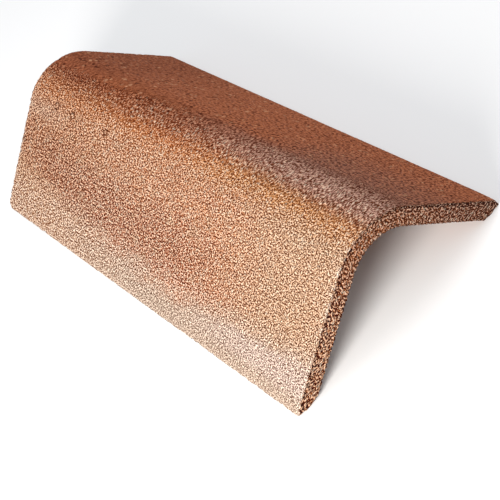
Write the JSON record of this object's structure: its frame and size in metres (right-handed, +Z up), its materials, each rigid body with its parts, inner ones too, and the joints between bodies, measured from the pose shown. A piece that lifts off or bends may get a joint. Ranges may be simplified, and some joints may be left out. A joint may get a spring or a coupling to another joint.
{
  "type": "ridge tile",
  "caption": "Sand-faced concrete angle ridge tile with a rounded crest, straight wings and level feet, open underneath from end to end.",
  "frame": {"origin": "on the ground, halfway along the tile and halfway between its feet", "axes": "+X along the ridge towards the end that is near in the picture, +Y across towards the wing that is on the right in the picture, +Z up"},
  "size_m": [0.45, 0.239, 0.0969],
  "materials": {
    "sand_faced_concrete": "rough"
  },
  "bodies": {
    "root": {"ridge_tile": "sand_faced_concrete"}
  },
  "joints": []
}
